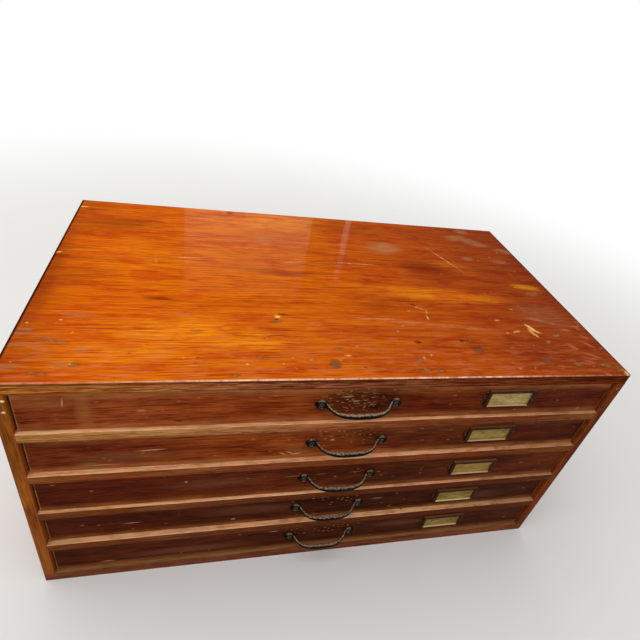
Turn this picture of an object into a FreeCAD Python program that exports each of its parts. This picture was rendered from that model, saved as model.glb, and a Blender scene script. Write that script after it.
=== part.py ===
import FreeCAD, Part
import math
import os

from FreeCAD import Vector

# Driving sizes of the cabinet, in millimetres
cabinet_width = 864.0
cabinet_depth = 470.0
drawer_count = 5
opening_height = 67.0

# Boards of the case
top_thickness = 18.0
bottom_thickness = 18.0
side_thickness = 15.0
back_thickness = 8.0
back_rebate_width = 7.0
back_board_count = 3
back_board_gap = 0.6
top_edge_round = 2.0
case_edge_round = 1.0

# Front rails and the runners behind them
rail_thickness = 16.0
rail_depth = 60.0
rail_edge_round = 1.6
housing_depth = 5.0
housing_stop = 12.0
runner_width = 22.0
joint_gap = 0.1

# Drawer boxes
drawer_side_gap = 2.5
drawer_top_gap = 1.7
running_gap = 0.3
front_thickness = 18.0
front_edge_round = 1.2
wall_thickness = 10.0
wall_set_down = 4.0
floor_thickness = 5.0
floor_lift = 8.0
floor_groove_depth = 5.0
back_housing_depth = 3.0
deepest_recess = 7.5
recess_shares = (0.61, 0.85, 0.53, 1.0, 0.73)

# Lapped dovetails at the drawer's front corners
tail_count = 3
tail_lap = 6.0
tail_root_share = 0.52
tail_end_share = 0.76

# Partitions of a type case, in three bays
partition_height = 32.0
bar_thickness = 9.0
strip_thickness = 4.0
row_shares = (0.22, 0.28, 0.28, 0.22)
column_shares = (
    ((0.5, 0.5), (0.36, 0.28, 0.36), (0.28, 0.44, 0.28), (0.25, 0.25, 0.25, 0.25)),
    ((0.34, 0.33, 0.33), (0.5, 0.5), (0.3, 0.4, 0.3), (0.25, 0.25, 0.25, 0.25)),
    ((0.25, 0.25, 0.25, 0.25), (0.25, 0.25, 0.25, 0.25), (0.34, 0.33, 0.33), (0.34, 0.33, 0.33)),
)

# Stops that a closed drawer meets
stop_width = 16.0
stop_length = 18.0
stop_height = 12.0
stop_wall_gap = 1.0

# Cast bow pull, with a screw in each end
pull_spacing = 106.5
pull_reach = 23.5
pull_drop = 1.5
pull_offset = 2.3
pull_rise = 5.0
pull_rise_shares = (0.34, 0.48, 1.0, 0.55, 0.4)
lobe_radius = 7.6
lobe_thickness = 4.0
lobe_edge_round = 1.2
lobe_dish_radius = 5.2
lobe_dish_depth = 1.0
lobe_tip_reach = 1.6
arm_rise = 2.4
arm_start_height = 10.4
arm_start_thickness = 4.4
arm_height = 4.8
arm_thickness = 4.4
grip_height = 8.2
grip_thickness = 7.6
pull_span_shares = (0.96, 0.88, 0.82, 0.75, 0.66, 0.54, 0.4, 0.2, 0.0)
pull_reach_shares = (0.0, 0.06, 0.25, 0.49, 0.7, 0.85, 0.94, 0.99, 1.0)
arm_shares = (0.0, 0.35, 0.8, 1.0, 1.0, 1.0, 1.0, 1.0, 1.0)
grip_shares = (0.0, 0.0, 0.0, 0.0, 0.12, 0.42, 0.75, 0.96, 1.0)

# Wood screws that hold the pulls
screw_head_radius = 4.2
screw_head_depth = 2.4
screw_shank_radius = 1.9
screw_length = 16.0
screw_slot_width = 0.9
screw_slot_depth = 0.8
hole_gap = 0.05

# Stamped label holder, its pins and its card
label_from_end = 174.9
label_rise = 5.0
label_rise_shares = (0.94, 0.97, 0.9, 0.42, 0.8)
label_width = 80.4
label_height = 33.8
label_border = 5.2
label_top_border = 6.0
label_stand = 3.5
label_face_thickness = 1.0
label_wall_thickness = 1.4
label_corner_radius = 2.0
label_edge_round = 0.5
ear_radius = 6.0
ear_reach = 2.5
ear_lobe_radius = 3.4
ear_lobe_spacing = 8.6
ear_thickness = 1.0
card_thickness = 0.7
card_slack = 0.4
pin_head_radius = 1.8
pin_head_depth = 0.9
pin_shank_radius = 0.7
pin_length = 9.0

# Nails of the case, the back and the drawer floors, and screws of the runners
nail_radius = 1.1
nail_head_radius = 2.4
nail_head_depth = 1.0
case_nail_length = 42.0
case_nail_count = 4
case_nail_sink = 3.0
case_nail_inset = 55.0
back_nail_length = 22.0
back_nail_spacing = 20.0
floor_nail_length = 18.0
floor_nail_count = 3
floor_nail_inset = 60.0
runner_screw_length = 32.0
runner_screw_count = 2
runner_screw_inset = 70.0

# How far a cutter runs past the face that it opens
overrun = 1.0

# Sizes that follow from those above
half_width = cabinet_width / 2
half_depth = cabinet_depth / 2
cabinet_height = (
    bottom_thickness + drawer_count * opening_height + (drawer_count - 1) * rail_thickness + top_thickness
)
inner_x = half_width - side_thickness
front_y = -half_depth
back_y = half_depth
back_inner_y = back_y - back_thickness
panel_low = bottom_thickness
panel_high = cabinet_height - top_thickness
pitch = opening_height + rail_thickness
drawer_half_width = inner_x - drawer_side_gap
front_height = opening_height - running_gap - drawer_top_gap
wall_inner_x = drawer_half_width - wall_thickness
wall_height = front_height - wall_set_down
tail_length = front_thickness - tail_lap
stop_y = back_inner_y - stop_length
drawer_length = stop_y - running_gap - deepest_recess - front_y


def block(x0, x1, y0, y1, z0, z1):
    """A box between two corners."""
    return Part.makeBox(x1 - x0, y1 - y0, z1 - z0, Vector(x0, y0, z0))


def group(shapes):
    """Separate solids kept together under one name."""
    return Part.makeCompound(shapes)


def mirrored(shape):
    """The same piece for the other side of the cabinet."""
    return shape.mirror(Vector(0, 0, 0), Vector(1, 0, 0))


def cut_all(shape, tools):
    """The shape without the tools, as one solid."""
    if not tools:
        return shape
    return shape.cut(tools)


def rounded(shape, radius, wanted):
    """Rounds the straight edges whose middle point and direction are wanted."""
    edges = []
    for edge in shape.Edges:
        if len(edge.Vertexes) != 2 or not isinstance(edge.Curve, Part.Line):
            continue
        start, end = edge.Vertexes[0].Point, edge.Vertexes[1].Point
        if wanted((start + end) / 2, (end - start).normalize()):
            edges.append(edge)
    if not edges:
        return shape
    return shape.makeFillet(radius, edges)


def same(a, b):
    """Whether two coordinates are the same place."""
    return math.isclose(a, b, rel_tol=1e-6, abs_tol=joint_gap / 10)


def opening_floor(number):
    """Height of the surface that drawer number slides on; drawer 1 is the top one."""
    return bottom_thickness + (drawer_count - number) * pitch


def recess_of(number):
    """How far the front of a closed drawer lies behind the front of the case."""
    return deepest_recess * recess_shares[(number - 1) % len(recess_shares)]


def label_height_of(number):
    """How high on its front the middle of a drawer's label was fixed."""
    return front_height / 2 + label_rise * label_rise_shares[(number - 1) % len(label_rise_shares)]


def pull_height_of(number):
    """How high on its front a drawer's pull was fixed."""
    return front_height / 2 + pull_rise * pull_rise_shares[(number - 1) % len(pull_rise_shares)]


def nail(length):
    """A nail with its point down the -Z axis and the top of its head at the origin."""
    head = Part.makeCylinder(nail_head_radius, nail_head_depth, Vector(0, 0, -nail_head_depth))
    shank = Part.makeCylinder(nail_radius, length - nail_head_depth, Vector(0, 0, -length))
    return head.fuse(shank).removeSplitter()


def nail_hole(length, above):
    """The room that a nail takes, up to a height above its head."""
    head_bottom = Vector(0, 0, -nail_head_depth - hole_gap)
    head = Part.makeCylinder(nail_head_radius + hole_gap, nail_head_depth + hole_gap + above, head_bottom)
    shank = Part.makeCylinder(nail_radius + hole_gap, length + hole_gap, Vector(0, 0, -length - hole_gap))
    return head.fuse(shank)


def wood_screw(length, gap=0.0):
    """A countersunk screw with its point down the -Z axis, or with a gap the room that it takes."""
    radius = screw_shank_radius + gap
    head = Part.makeCone(radius, screw_head_radius + gap, screw_head_depth, Vector(0, 0, -screw_head_depth))
    shank = Part.makeCylinder(radius, length - screw_head_depth + gap, Vector(0, 0, -length - gap))
    return head.fuse(shank)


def slotted(screw):
    """Saws the slot for a screwdriver into a screw's head."""
    slot = block(
        -screw_head_radius - overrun,
        screw_head_radius + overrun,
        -screw_slot_width / 2,
        screw_slot_width / 2,
        -screw_slot_depth,
        overrun,
    )
    return screw.cut(slot)


def turned(shape, axis, degrees, place):
    """A copy of a piece drawn down the -Z axis, turned and then set in its place."""
    copy = shape.copy()
    copy.rotate(Vector(0, 0, 0), axis, degrees)
    copy.translate(place)
    return copy


def spread(low, high, count):
    """Evenly spaced places from low to high."""
    if count < 2:
        return [(low + high) / 2]
    return [low + (high - low) * i / (count - 1) for i in range(count)]


def case_nail_places():
    """Nails through the top and bottom boards into the ends of the sides, each with its turn."""
    middle_x = half_width - side_thickness / 2
    places = []
    for y in spread(front_y + case_nail_inset, back_y - case_nail_inset, case_nail_count):
        for x in (-middle_x, middle_x):
            places.append((Vector(x, y, cabinet_height - case_nail_sink), 0))
            places.append((Vector(x, y, case_nail_sink), 180))
    return places


def back_board_heights():
    """Low and high edge of each board of the back."""
    height = (panel_high - panel_low - (back_board_count - 1) * back_board_gap) / back_board_count
    lows = [panel_low + i * (height + back_board_gap) for i in range(back_board_count)]
    return [(low, low + height) for low in lows]


def back_nail_places():
    """Nails through the boards of the back into the sides, two behind each end of a drawer."""
    x = inner_x + back_rebate_width / 2
    places = []
    for number in range(1, drawer_count + 1):
        middle = opening_floor(number) + opening_height / 2
        for z in (middle - back_nail_spacing / 2, middle + back_nail_spacing / 2):
            places += [Vector(-x, back_y, z), Vector(x, back_y, z)]
    return places


def runner_screw_places():
    """Screws through the right-hand runners into the side."""
    x = inner_x - runner_width
    places = []
    first = front_y + rail_depth + runner_screw_inset
    last = back_inner_y - runner_screw_inset
    for number in range(1, drawer_count):
        for y in spread(first, last, runner_screw_count):
            places.append(Vector(x, y, opening_floor(number) - rail_thickness / 2))
    return places


def case_nail_tools():
    """Room for punched-in nails: the hole over each head has been filled."""
    room = nail_hole(case_nail_length, hole_gap)
    return [turned(room, Vector(1, 0, 0), turn, place) for place, turn in case_nail_places()]


def back_nail_tools():
    room = nail_hole(back_nail_length, overrun)
    return [turned(room, Vector(1, 0, 0), -90, place) for place in back_nail_places()]


def runner_screw_tools():
    """Room for the screws of the right-hand runners, which point to the right."""
    room = wood_screw(runner_screw_length, hole_gap)
    return [turned(room, Vector(0, 1, 0), -90, place) for place in runner_screw_places()]


def make_top_board():
    board = block(-half_width, half_width, front_y, back_y, panel_high, cabinet_height)
    board = rounded(
        board,
        top_edge_round,
        lambda p, d: same(p.z, cabinet_height) or same(abs(d.z), 1),
    )
    return cut_all(board, case_nail_tools())


def make_bottom_board():
    board = block(-half_width, half_width, front_y, back_y, 0, bottom_thickness)
    board = rounded(
        board,
        case_edge_round,
        lambda p, d: same(abs(d.z), 1) or (same(p.z, bottom_thickness) and same(p.y, front_y)),
    )
    return cut_all(board, case_nail_tools())


def make_right_side():
    side = block(inner_x, half_width, front_y, back_y, panel_low, panel_high)
    side = rounded(side, case_edge_round, lambda p, d: same(abs(d.z), 1) and same(p.y, front_y))
    tools = [
        block(
            inner_x - overrun,
            inner_x + back_rebate_width + joint_gap,
            back_inner_y - joint_gap,
            back_y + overrun,
            panel_low - overrun,
            panel_high + overrun,
        )
    ]
    for number in range(1, drawer_count):
        high = opening_floor(number) + joint_gap
        low = opening_floor(number) - rail_thickness - joint_gap
        tools.append(
            block(
                inner_x - overrun,
                inner_x + housing_depth + joint_gap,
                front_y + housing_stop - joint_gap,
                back_y,
                low,
                high,
            )
        )
    return cut_all(side, tools + case_nail_tools() + back_nail_tools() + runner_screw_tools())


def make_back_boards():
    reach = inner_x + back_rebate_width
    nails = back_nail_tools()
    boards = [block(-reach, reach, back_inner_y, back_y, low, high) for low, high in back_board_heights()]
    return group([cut_all(board, nails) for board in boards])


def make_front_rails():
    rails = []
    tongue_x = inner_x + housing_depth
    for number in range(1, drawer_count):
        high = opening_floor(number)
        low = high - rail_thickness
        face = block(-inner_x, inner_x, front_y, front_y + rail_depth, low, high)
        tongues = block(-tongue_x, tongue_x, front_y + housing_stop, front_y + rail_depth, low, high)
        rail = face.fuse(tongues).removeSplitter()
        rail = rounded(
            rail,
            rail_edge_round,
            lambda p, d: same(abs(d.x), 1) and same(p.y, front_y),
        )
        rails.append(rail)
    return group(rails)


def make_drawer_runners():
    runners = []
    screws = runner_screw_tools()
    for number in range(1, drawer_count):
        high = opening_floor(number)
        runner = block(
            inner_x - runner_width,
            inner_x + housing_depth,
            front_y + rail_depth,
            back_inner_y - joint_gap,
            high - rail_thickness,
            high,
        )
        runner = cut_all(runner, screws)
        runners += [mirrored(runner), runner]
    return group(runners)


def make_runner_screws():
    screw = slotted(wood_screw(runner_screw_length))
    screws = [turned(screw, Vector(0, 1, 0), -90, place) for place in runner_screw_places()]
    return group(screws + [mirrored(s) for s in screws])


def make_drawer_stops():
    stops = []
    for number in range(1, drawer_count + 1):
        low = opening_floor(number)
        stop = block(
            inner_x - stop_wall_gap - stop_width,
            inner_x - stop_wall_gap,
            stop_y,
            back_inner_y,
            low,
            low + stop_height,
        )
        stops += [mirrored(stop), stop]
    return group(stops)


def make_case_nails():
    case_nail = nail(case_nail_length)
    back_nail = nail(back_nail_length)
    nails = [turned(case_nail, Vector(1, 0, 0), turn, place) for place, turn in case_nail_places()]
    nails += [turned(back_nail, Vector(1, 0, 0), -90, place) for place in back_nail_places()]
    return group(nails)


# Each drawer is drawn with the middle of its front's lower edge at the origin, and then set in its place
drawer_back_y = drawer_length
box_front_y = front_thickness
floor_low = floor_lift
floor_high = floor_lift + floor_thickness
label_x = drawer_half_width - label_from_end
floor_front_y = front_thickness - floor_groove_depth


def floor_room(gap):
    """The drawer's floor, or with a gap the grooves that take it."""
    reach = wall_inner_x + floor_groove_depth + gap
    return block(-reach, reach, floor_front_y - gap, drawer_back_y + gap, floor_low - gap, floor_high + gap)


def floor_nail_places():
    reach = wall_inner_x - floor_nail_inset
    y = drawer_back_y - wall_thickness / 2
    return [Vector(x, y, floor_low) for x in spread(-reach, reach, floor_nail_count)]


def floor_nail_tools():
    room = nail_hole(floor_nail_length, overrun)
    return [turned(room, Vector(1, 0, 0), 180, place) for place in floor_nail_places()]


def tails(gap):
    """The dovetails on the front end of the right-hand wall, or with a gap their sockets."""
    pitch_z = wall_height / tail_count
    root = pitch_z * tail_root_share / 2 + gap
    end = pitch_z * tail_end_share / 2 + gap
    y_root = box_front_y + gap
    y_end = box_front_y - tail_length - gap
    shapes = []
    for i in range(tail_count):
        z = pitch_z * (i + 0.5)
        corners = [
            Vector(wall_inner_x - gap, y_root, z - root),
            Vector(wall_inner_x - gap, y_root, z + root),
            Vector(wall_inner_x - gap, y_end, z + end),
            Vector(wall_inner_x - gap, y_end, z - end),
        ]
        face = Part.Face(Part.makePolygon(corners + corners[:1]))
        shapes.append(face.extrude(Vector(wall_thickness + gap + (overrun if gap else 0), 0, 0)))
    return shapes


def pull_screw_places(number):
    """Top of each pull screw's head, which lies in the dish of a lobe."""
    y = -lobe_thickness + lobe_dish_depth
    return [Vector(pull_offset + side * pull_spacing / 2, y, pull_height_of(number)) for side in (-1, 1)]


def label_centre(number):
    return Vector(label_x, 0, label_height_of(number))


def pin_places(number):
    """Where each label pin's head meets an ear of the holder."""
    centre = label_centre(number)
    reach = label_width / 2 + ear_reach
    return [centre + Vector(side * reach, -ear_thickness, 0) for side in (-1, 1)]


def label_pin():
    """A pin with its point down the -Z axis, and a domed head whose underside is at the origin."""
    dome_radius = (pin_head_radius**2 + pin_head_depth**2) / (2 * pin_head_depth)
    dome = Part.makeSphere(dome_radius, Vector(0, 0, pin_head_depth - dome_radius))
    head = dome.common(Part.makeCylinder(pin_head_radius, pin_head_depth + overrun))
    shank = Part.makeCylinder(pin_shank_radius, pin_length, Vector(0, 0, -pin_length))
    return head.fuse(shank)


def pin_hole():
    length = pin_length + hole_gap
    return Part.makeCylinder(pin_shank_radius + hole_gap, length, Vector(0, 0, -length))


def make_drawer_front(number):
    board = block(-drawer_half_width, drawer_half_width, 0, front_thickness, 0, front_height)
    board = rounded(board, front_edge_round, lambda p, d: same(p.y, 0))
    sockets = tails(joint_gap)
    tools = [floor_room(joint_gap)] + sockets + [mirrored(s) for s in sockets]
    screw = wood_screw(screw_length, hole_gap)
    tools += [turned(screw, Vector(1, 0, 0), 90, place) for place in pull_screw_places(number)]
    tools += [turned(pin_hole(), Vector(1, 0, 0), 90, place) for place in pin_places(number)]
    return cut_all(board, tools)


def make_drawer_wall():
    """The right-hand wall; the left one mirrors it."""
    wall = block(wall_inner_x, drawer_half_width, box_front_y, drawer_back_y, 0, wall_height)
    for tail in tails(0):
        wall = wall.fuse(tail)
    wall = wall.removeSplitter()
    housing = block(
        wall_inner_x - overrun,
        wall_inner_x + back_housing_depth + joint_gap,
        drawer_back_y - wall_thickness - joint_gap,
        drawer_back_y + overrun,
        floor_high - joint_gap,
        wall_height + overrun,
    )
    return wall.cut([floor_room(joint_gap), housing])


def make_drawer_back():
    reach = wall_inner_x + back_housing_depth
    back = block(-reach, reach, drawer_back_y - wall_thickness, drawer_back_y, floor_high, wall_height)
    return cut_all(back, floor_nail_tools())


def make_drawer_floor():
    return cut_all(floor_room(0), floor_nail_tools())


def bay_spans():
    """Left and right edge of each bay between the bars."""
    count = len(column_shares)
    low, high = -wall_inner_x + joint_gap, wall_inner_x - joint_gap
    width = (high - low - (count - 1) * bar_thickness) / count
    lefts = [low + i * (width + bar_thickness) for i in range(count)]
    return [(left, left + width) for left in lefts]


def row_spans():
    """Front and back edge of each row of a bay, between the strips."""
    low, high = box_front_y + joint_gap, drawer_back_y - wall_thickness - joint_gap
    free = high - low - (len(row_shares) - 1) * strip_thickness
    spans = []
    for share in row_shares:
        spans.append((low, low + free * share))
        low = spans[-1][1] + strip_thickness
    return spans


def column_spans(span, shares):
    """Left and right edge of each box in a row, between the strips."""
    low = span[0]
    free = span[1] - span[0] - (len(shares) - 1) * strip_thickness
    spans = []
    for share in shares:
        spans.append((low, low + free * share / sum(shares)))
        low = spans[-1][1] + strip_thickness
    return spans


def make_partitions():
    low, high = floor_high, floor_high + partition_height
    bays, rows = bay_spans(), row_spans()
    pieces = []
    for left, right in zip(bays, bays[1:]):
        pieces.append(block(left[1], right[0], rows[0][0], rows[-1][1], low, high))
    for bay, bay_column_shares in zip(bays, column_shares):
        for front_row, back_row in zip(rows, rows[1:]):
            pieces.append(block(bay[0], bay[1], front_row[1], back_row[0], low, high))
        for row, shares in zip(rows, bay_column_shares):
            columns = column_spans(bay, shares)
            for left, right in zip(columns, columns[1:]):
                pieces.append(block(left[1], right[0], row[0], row[1], low, high))
    return group(pieces)


def pull_section(point, along, height, thickness):
    """An oval section of the pull, upright and square to the way that the bow runs."""
    across = along.cross(Vector(0, 0, 1)).normalize()
    upright = across.cross(along)
    oval = Part.Ellipse(point + upright * height / 2, point + across * thickness / 2, point)
    return Part.Wire(oval.toShape())


def pull_sections(height):
    """The sections of the bow from one end to the other."""
    rise = pull_reach - arm_rise
    table = list(zip(pull_span_shares, pull_reach_shares, arm_shares, grip_shares))
    table = [(-span, reach, arm, grip) for span, reach, arm, grip in table] + table[-2::-1]
    points = []
    for span, reach, arm, grip in table:
        x = pull_offset + span * pull_spacing / 2
        points.append(Vector(x, -arm_rise - reach * rise, height - reach * pull_drop))
    sections = []
    for i, (span, reach, arm, grip) in enumerate(table):
        along = (points[min(i + 1, len(points) - 1)] - points[max(i - 1, 0)]).normalize()
        tall = arm_start_height + arm * (arm_height - arm_start_height) + grip * (grip_height - arm_height)
        thick = (
            arm_start_thickness
            + arm * (arm_thickness - arm_start_thickness)
            + grip * (grip_thickness - arm_thickness)
        )
        sections.append(pull_section(points[i], along, tall, thick))
    return sections


def pull_lobe(place):
    """A round end of the pull, drawn out to a blunt tip away from the bow."""
    outward = 1 if place.x > pull_offset else -1
    disc = Part.makeCylinder(lobe_radius, lobe_thickness, Vector(place.x, 0, place.z), Vector(0, -1, 0))
    reach = lobe_radius + lobe_tip_reach
    lean = math.sqrt(reach**2 - lobe_radius**2)
    touch_x = lobe_radius**2 / reach
    touch_z = lobe_radius * lean / reach
    corners = [
        Vector(place.x + outward * reach, 0, place.z),
        Vector(place.x + outward * touch_x, 0, place.z + touch_z),
        Vector(place.x, 0, place.z),
        Vector(place.x + outward * touch_x, 0, place.z - touch_z),
    ]
    tip = Part.Face(Part.makePolygon(corners + corners[:1])).extrude(Vector(0, -lobe_thickness, 0))
    lobe = disc.fuse(tip).removeSplitter()
    rim = [edge for edge in lobe.Edges if same(edge.BoundBox.YMax, -lobe_thickness)]
    return lobe.makeFillet(lobe_edge_round, rim)


def make_pull(number):
    """One casting: a bow with a dished lobe at each end, flat where it meets the wood."""
    height = pull_height_of(number)
    places = pull_screw_places(number)
    pull = Part.makeLoft(pull_sections(height), True, False)
    pull = pull.fuse([pull_lobe(place) for place in places]).removeSplitter()
    tools = []
    for place in places:
        tools.append(Part.makeCylinder(lobe_dish_radius, grip_height / 2 + overrun, place, Vector(0, -1, 0)))
        tools.append(turned(wood_screw(screw_length, hole_gap), Vector(1, 0, 0), 90, place))
    behind = block(-drawer_half_width, drawer_half_width, 0, front_thickness, 0, front_height)
    return pull.cut(tools + [behind])


def make_label_holder(number):
    """A raised frame pinned over its card, with a sill below the card and a lobed ear at each end."""
    centre = label_centre(number)
    half = label_width / 2
    low, high = centre.z - label_height / 2, centre.z + label_height / 2
    frame = block(centre.x - half, centre.x + half, -label_stand, 0, low, high)
    frame = rounded(frame, label_corner_radius, lambda p, d: same(abs(d.y), 1))
    for side in (-1, 1):
        middle = Vector(centre.x + side * half, 0, centre.z)
        for radius, rise in (
            (ear_radius, 0),
            (ear_lobe_radius, ear_lobe_spacing),
            (ear_lobe_radius, -ear_lobe_spacing),
        ):
            lobe = Part.makeCylinder(radius, ear_thickness, middle + Vector(0, 0, rise), Vector(0, -1, 0))
            frame = frame.fuse(lobe)
    window = block(
        centre.x - half + label_border,
        centre.x + half - label_border,
        -label_stand - overrun,
        overrun,
        low + label_wall_thickness,
        high - label_top_border,
    )
    pocket = block(
        centre.x - half + label_wall_thickness,
        centre.x + half - label_wall_thickness,
        -label_stand + label_face_thickness,
        overrun,
        low + label_wall_thickness,
        high - label_wall_thickness,
    )
    pins = [turned(pin_hole(), Vector(1, 0, 0), 90, place) for place in pin_places(number)]
    frame = frame.cut([window, pocket] + pins).removeSplitter()
    return rounded(
        frame,
        label_edge_round,
        lambda p, d: same(p.y, -label_stand) and (same(abs(d.x), 1) or same(abs(d.z), 1)),
    )


def make_label_card(number):
    centre = label_centre(number)
    reach = label_width / 2 - label_wall_thickness - card_slack
    low = centre.z - label_height / 2 + label_wall_thickness
    high = centre.z + label_height / 2 - label_wall_thickness - card_slack
    return block(centre.x - reach, centre.x + reach, -card_thickness, 0, low, high)


def make_fixings(number):
    """Two screws of the pull, two pins of the label holder and the nails of the drawer's floor."""
    screw = slotted(wood_screw(screw_length))
    pieces = [turned(screw, Vector(1, 0, 0), 90, place) for place in pull_screw_places(number)]
    pieces += [turned(label_pin(), Vector(1, 0, 0), 90, place) for place in pin_places(number)]
    pieces += [turned(nail(floor_nail_length), Vector(1, 0, 0), 180, place) for place in floor_nail_places()]
    return group(pieces)


def make_case():
    right_side = make_right_side()
    return {
        "top_board": make_top_board(),
        "bottom_board": make_bottom_board(),
        "left_side": mirrored(right_side),
        "right_side": right_side,
        "back_boards": make_back_boards(),
        "front_rails": make_front_rails(),
        "drawer_runners": make_drawer_runners(),
        "runner_screws": make_runner_screws(),
        "drawer_stops": make_drawer_stops(),
        "case_nails": make_case_nails(),
    }


def drawer_place(number):
    """Where the middle of the lower edge of a closed drawer's front lies."""
    return Vector(0, front_y + recess_of(number), opening_floor(number) + running_gap)


def make_drawer(number, shared):
    pieces = {
        "front": make_drawer_front(number),
        "pull": make_pull(number),
        "label_holder": make_label_holder(number),
        "label_card": make_label_card(number),
        "fixings": make_fixings(number),
        **shared,
    }
    placed = {}
    for name, shape in pieces.items():
        copy = shape.copy()
        copy.translate(drawer_place(number))
        placed[f"drawer_{number}_{name}"] = copy
    return placed


def make_shared_drawer_pieces():
    """The pieces that are alike in every drawer."""
    wall = make_drawer_wall()
    return {
        "left_wall": mirrored(wall),
        "right_wall": wall,
        "back": make_drawer_back(),
        "floor": make_drawer_floor(),
        "partitions": make_partitions(),
    }


def main():
    nodes = make_case()
    shared = make_shared_drawer_pieces()
    for number in range(1, drawer_count + 1):
        nodes.update(make_drawer(number, shared))
    os.makedirs("parts", exist_ok=True)
    for name, shape in nodes.items():
        shape.exportStep(f"parts/{name}.step")
    print(len(nodes), "nodes,", sum(len(s.Solids) for s in nodes.values()), "solids")
    return nodes


main()
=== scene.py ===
import math

import bmesh
import bpy
from mathutils import Matrix, Vector


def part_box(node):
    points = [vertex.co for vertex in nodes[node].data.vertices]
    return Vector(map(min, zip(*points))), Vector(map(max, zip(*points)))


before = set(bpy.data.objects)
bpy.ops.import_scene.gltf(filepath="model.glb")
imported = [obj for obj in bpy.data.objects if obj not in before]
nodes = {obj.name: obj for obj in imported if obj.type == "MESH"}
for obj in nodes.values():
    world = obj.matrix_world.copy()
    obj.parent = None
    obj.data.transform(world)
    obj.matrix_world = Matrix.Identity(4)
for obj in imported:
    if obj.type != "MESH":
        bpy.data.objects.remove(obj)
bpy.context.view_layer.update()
print("type case cabinet: frame loaded,", len(nodes), "pieces")


# settings that many nodes share
colourMix = {"data_type": "RGBA"}
darken = {"data_type": "RGBA", "blend_type": "MULTIPLY"}
smooth = {"interpolation_type": "SMOOTHSTEP"}
scaled = {"operation": "SCALE"}
divided = {"operation": "DIVIDE"}
plus = {"operation": "ADD"}
minus = {"operation": "SUBTRACT"}
times = {"operation": "MULTIPLY"}
timesPlus = {"operation": "MULTIPLY_ADD"}
larger = {"operation": "MAXIMUM"}
remainder = {"operation": "MODULO"}
lengthOf = {"operation": "LENGTH"}
aboutZ = {"rotation_type": "Z_AXIS"}
millimetres = 1000.0    # in a metre


# a colour as it looks on screen, turned to the linear numbers that a shader wants
def linear(hexColour):
    parts = [int(hexColour[i:i + 2], 16) / 255 for i in (1, 3, 5)]
    return [p / 12.92 if p <= 0.04045 else ((p + 0.055) / 1.055) ** 2.4 for p in parts] + [1.0]


# adds one node; inputs are a list in order or a dictionary, and sockets given there are linked
def addNode(tree, kind, settings=None, inputs=None, output=0):
    node = tree.nodes.new("ShaderNode" + kind)
    for name, value in (settings or {}).items():
        if name != "ramp":
            setattr(node, name, value)
            continue
        stops = node.color_ramp.elements
        stops.remove(stops[1])
        stops[0].position = value[0][0]
        for place, colour in value[1:]:
            stops.new(place)
        for stop, (place, colour) in zip(stops, value):
            stop.color = linear(colour)
    for key, value in inputs.items() if isinstance(inputs, dict) else enumerate(inputs or []):
        socket = node.inputs[key] if isinstance(key, int) else next(
            s for s in node.inputs if s.enabled and s.name == key)
        if isinstance(value, bpy.types.NodeSocket):
            tree.links.new(value, socket)
        else:
            socket.default_value = linear(value) if isinstance(value, str) else value
    if isinstance(output, str):
        return next(s for s in node.outputs if s.enabled and s.name == output)
    return node.outputs[output] if node.outputs else node


def newMaterial(name):
    material = bpy.data.materials.new(name)
    material.use_nodes = True
    material.node_tree.nodes.clear()
    return material, material.node_tree


def dress(name, material):
    for slot in nodes[name].material_slots:
        slot.material = material


# a node's lowest and highest corners in millimetres
def boxOf(name):
    return [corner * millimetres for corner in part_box(name)]


# object coordinates in millimetres, turned so that the grain runs along the first number
def placeAlong(tree, order="XYZ"):
    metres = addNode(tree, "TexCoord", output="Object")
    place = addNode(tree, "VectorMath", scaled, {"Vector": metres, "Scale": millimetres})
    if order == "XYZ":
        return place
    parts = addNode(tree, "SeparateXYZ", inputs=[place]).node.outputs
    return addNode(tree, "CombineXYZ", inputs=[parts[letter] for letter in order])


# soft patches whose size is given in millimetres along, across and through the grain
def streaks(tree, place, size, detail=2.0, rough=0.5, shift=0.0):
    spread = addNode(tree, "VectorMath", divided, [place, size])
    moved = addNode(tree, "VectorMath", plus, [spread, (shift, shift * 1.7, shift * 0.6)])
    return addNode(tree, "TexNoise", inputs={
        "Vector": moved, "Scale": 1.0, "Detail": detail, "Roughness": rough})


# a cloudy mask; its look is the size of its patches, their detail, roughness and shift, the noise
# where it starts and where it is full, and the share that it has at each of the two
def cloud(tree, place, look, shift=0.0):
    size, detail, rough, ownShift, (start, full), (least, most) = look
    noise = streaks(tree, place, size, detail, rough, ownShift + shift)
    return addNode(tree, "MapRange", smooth, [noise, start, full, least, most])


# a mask from bands, each an axis, where it starts and where it is full; the widest wins
def bandsOf(tree, bands, share=1.0):
    mask = 0.0
    for axis, start, full in bands:
        band = addNode(tree, "MapRange", smooth, [axis, start, full, 0.0, share])
        mask = addNode(tree, "Math", larger, [mask, band])
    return mask


# masks multiplied with one another
def allOf(tree, masks):
    total = masks[0]
    for mask in masks[1:]:
        total = addNode(tree, "Math", times, [total, mask])
    return total


# pushes a place about, so that an outline drawn with it comes out ragged
def ragged(tree, place, size, reach, shift):
    push = streaks(tree, place, size, 3.0, 0.65, shift).node.outputs["Color"]
    push = addNode(tree, "VectorMath", minus, [push, (0.5, 0.5, 0.5)])
    return addNode(tree, "VectorMath", timesPlus, [push, reach, place])


# grain as a shade from 0, dark late wood, to 1, light early wood; each layer is length, width, share
def grainShade(tree, place, look, shift=0.0):
    length, width, reach = look["wave"]
    bent = ragged(tree, place, (length, width, width), (0.0, reach, reach), shift)
    total = 0.0
    for length, width, share in look["layers"]:
        shift += 3.1
        layer = streaks(tree, bent, (length, width, width), 3.0, 0.6, shift)
        total = addNode(tree, "Math", timesPlus, [layer, share, total])
    return total


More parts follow.
